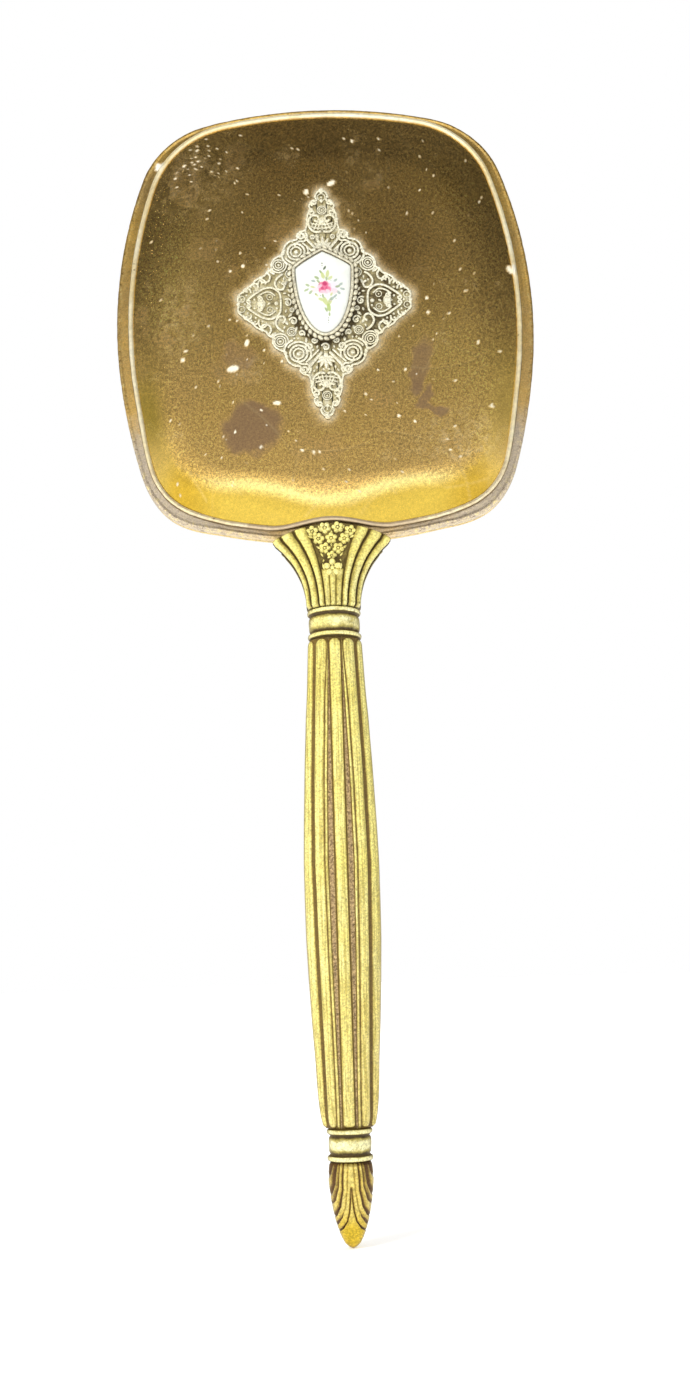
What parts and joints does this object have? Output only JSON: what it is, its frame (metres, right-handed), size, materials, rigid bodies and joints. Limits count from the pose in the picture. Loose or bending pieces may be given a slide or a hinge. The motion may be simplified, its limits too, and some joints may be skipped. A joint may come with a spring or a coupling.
{
  "type": "hand mirror",
  "caption": "Vanity hand mirror with a cushion-shaped head, bevelled glass in a rolled metal frame, pierced back medallion with an enamel shield, and a long reeded metal handle.",
  "frame": {"origin": "tip of the finial at the foot of the handle, on the handle's axis", "axes": "+Z along the handle towards the head, +X to the right seen from the glass, +Y out of the ornate back, -Y out of the glass"},
  "size_m": [0.1282, 0.0162, 0.343],
  "materials": {
    "mirror_glass": "polished, ground bevel",
    "card": "plain grey-brown board",
    "felt": "pressed felt",
    "frame_brass": "aged gilt, granular tarnish",
    "bezel_brass": "satin gilt",
    "plate_brass": "satin gilt under aged lacquer, with stains and pits",
    "wire_brass": "rubbed bright",
    "filigree": "pale antique gilt with dark recesses",
    "enamel": "white enamel with a small painted floral spray",
    "handle_gilt": "satin yellow gilt with brown patina in the grooves",
    "steel": "plain",
    "plug_wood": "turned hardwood"
  },
  "bodies": {
    "root": {"mirror_glass": "mirror_glass", "backing_card": "card", "padding_sheet": "felt", "rim_frame": "frame_brass", "front_bezel": "bezel_brass", "back_plate": "plate_brass", "edge_wire": "wire_brass", "filigree_medallion": "filigree", "medallion_rivets": "filigree", "cabochon_cup": "filigree", "cabochon_pad": "card", "shield_cabochon": "enamel", "handle_socket": "handle_gilt", "tang_plate": "steel", "tang_rivets": "steel", "tang_lock_nut": "steel", "tie_rod": "steel", "upper_collar": "handle_gilt", "grip_shell_back": "handle_gilt", "grip_shell_front": "handle_gilt", "grip_plug_upper": "plug_wood", "grip_plug_lower": "plug_wood", "lower_collar": "handle_gilt", "finial": "handle_gilt"}
  },
  "joints": []
}
